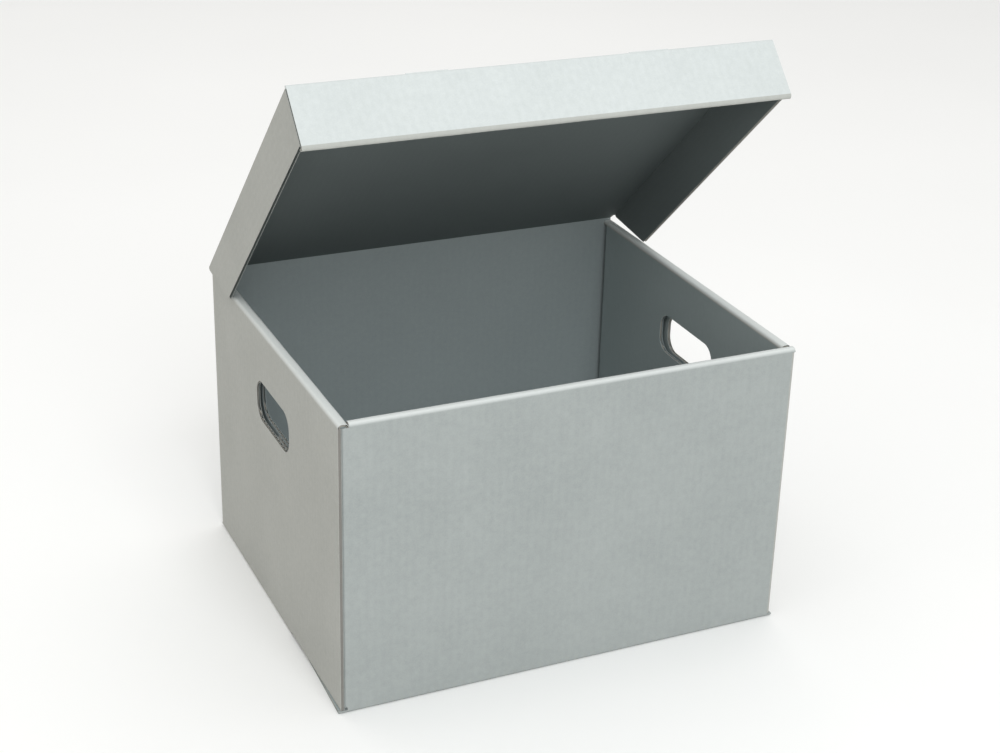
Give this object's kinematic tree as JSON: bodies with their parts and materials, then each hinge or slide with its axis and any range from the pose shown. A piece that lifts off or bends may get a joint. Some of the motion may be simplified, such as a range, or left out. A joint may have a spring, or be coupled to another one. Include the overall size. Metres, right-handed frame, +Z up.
{
  "type": "archival records box",
  "caption": "Corrugated board records box with rolled double walls, hand holes in its sides and a hinged lid that closes over the front and sides.",
  "frame": {"origin": "middle of the underside, on the surface the box stands on", "axes": "+X right along the front, +Y from front to back, +Z up; stored with the lid standing 43.5 degrees open"},
  "size_m": [0.4028, 0.326, 0.4829],
  "materials": {
    "outer_board": "matt blue-grey archival corrugated board",
    "inner_board": "matt blue-grey archival corrugated board, seen in shade inside the box",
    "rolled_edge": "the same board on its rolled edges and front lip, which face the light"
  },
  "bodies": {
    "box": {"front_wall": "outer_board", "right_wall": "outer_board", "back_wall": "inner_board", "left_wall": "outer_board", "left_joint_tab": "outer_board", "front_rim": "rolled_edge", "front_inner_wall": "inner_board", "front_inner_wing": "inner_board", "left_rim": "rolled_edge", "left_inner_wall": "inner_board", "right_rim": "rolled_edge", "right_inner_wall": "inner_board", "front_bottom_flap": "outer_board", "bottom_lock_tongue": "inner_board", "left_bottom_flap": "outer_board", "right_bottom_flap": "outer_board", "back_bottom_flap": "inner_board", "hinge_crease": "outer_board"},
    "lid": {"lid_top": "outer_board", "lid_left_flap": "outer_board", "lid_right_flap": "outer_board", "lid_left_corner_tab": "inner_board", "lid_right_corner_tab": "inner_board", "lid_lip": "rolled_edge", "lid_lip_rim": "rolled_edge", "lid_lip_inner": "inner_board", "lid_left_lock_tab": "outer_board", "lid_right_lock_tab": "outer_board"}
  },
  "joints": [
    {"name": "lid_hinge", "type": "hinge", "parent": "box", "child": "lid", "pos_m": [0, 0.163, 0.2551], "axis": [-1, 0, 0], "range_deg": [-43.5, 186]}
  ]
}
